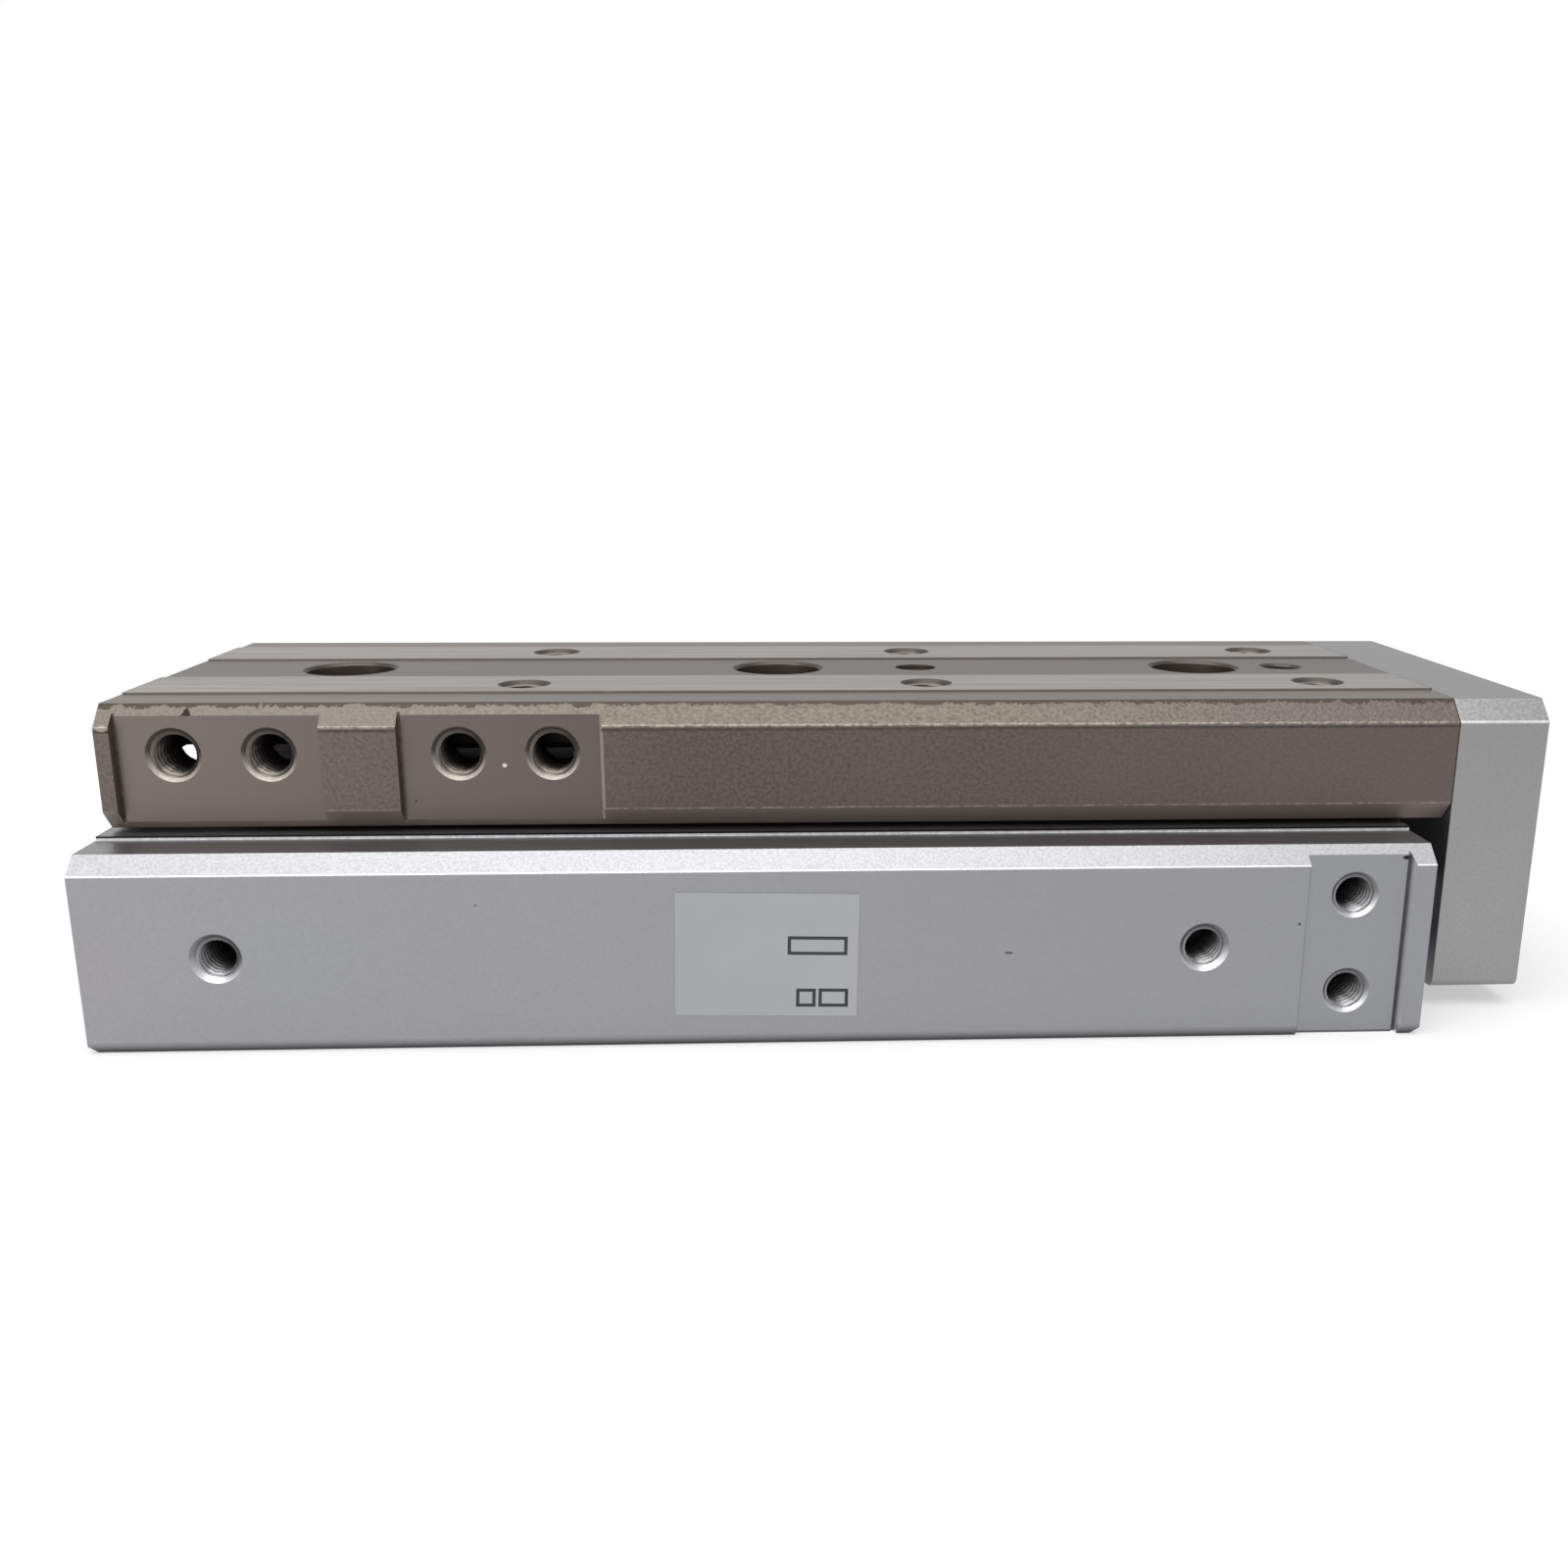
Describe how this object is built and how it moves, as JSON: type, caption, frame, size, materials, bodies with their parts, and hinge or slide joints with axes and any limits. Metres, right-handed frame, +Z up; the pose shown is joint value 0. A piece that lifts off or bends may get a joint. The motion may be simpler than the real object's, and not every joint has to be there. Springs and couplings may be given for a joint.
{
  "type": "pneumatic slide table",
  "caption": "Compact air slide: a grooved aluminium body with twin cylinders drives an end plate and a channel-shaped steel table guided on recirculating balls.",
  "frame": {"origin": "middle of the footprint at the height of the body's mounting face, with the table home", "axes": "+X along the stroke towards the end plate, +Y across the width away from the air ports, +Z up out of the table top"},
  "size_m": [0.1732, 0.076, 0.0393],
  "materials": {
    "anodised_body": "fine satin, clear anodised",
    "anodised_plate": "bead blasted, clear anodised",
    "table_steel": "grained sides, milled seats and ground pads",
    "guide_steel": "hardened and ground",
    "cap_alloy": "turned",
    "piston_alloy": "turned",
    "rod_steel": "hard chromed and polished",
    "ball_steel": "polished",
    "spring_steel": "phosphated",
    "black_screws": "blackened",
    "washer_steel": "plain turned",
    "bush_bronze": "sintered, oil filled",
    "seal_rubber": "moulded nitrile",
    "bumper_rubber": "moulded urethane",
    "cover_resin": "moulded acetal",
    "wear_resin": "cut strip",
    "magnet": "bonded ferrite"
  },
  "bodies": {
    "base": {"body": "anodised_body", "head_cap_left": "cap_alloy", "head_cap_right": "cap_alloy", "head_cap_o_rings": "seal_rubber", "rear_retaining_rings": "spring_steel", "rod_cover_left": "cap_alloy", "rod_cover_right": "cap_alloy", "rod_cover_o_rings": "seal_rubber", "rod_bushes": "bush_bronze", "rod_seals": "seal_rubber", "front_retaining_rings": "spring_steel", "front_bumpers": "bumper_rubber", "guide_block": "guide_steel", "guide_block_screws": "black_screws", "return_cover_rear": "cover_resin", "return_cover_front": "cover_resin", "return_cover_screws": "black_screws", "scraper_rear": "seal_rubber", "scraper_front": "seal_rubber", "ball_circuit_left": "ball_steel", "ball_circuit_right": "ball_steel"},
    "carriage": {"table": "table_steel", "end_plate": "anodised_plate", "end_plate_screws": "black_screws", "end_plate_dowels": "ball_steel", "rod_left": "rod_steel", "rod_right": "rod_steel", "piston_left": "piston_alloy", "piston_right": "piston_alloy", "piston_seals": "seal_rubber", "piston_wear_rings": "wear_resin", "piston_magnets": "magnet", "rear_bumpers": "bumper_rubber", "floating_bushes": "washer_steel", "rod_washers": "washer_steel", "rod_bolts": "black_screws"}
  },
  "joints": [
    {"name": "table_slide", "type": "slide", "parent": "base", "child": "carriage", "axis": [1, 0, 0], "range_m": [0, 0.075]}
  ]
}
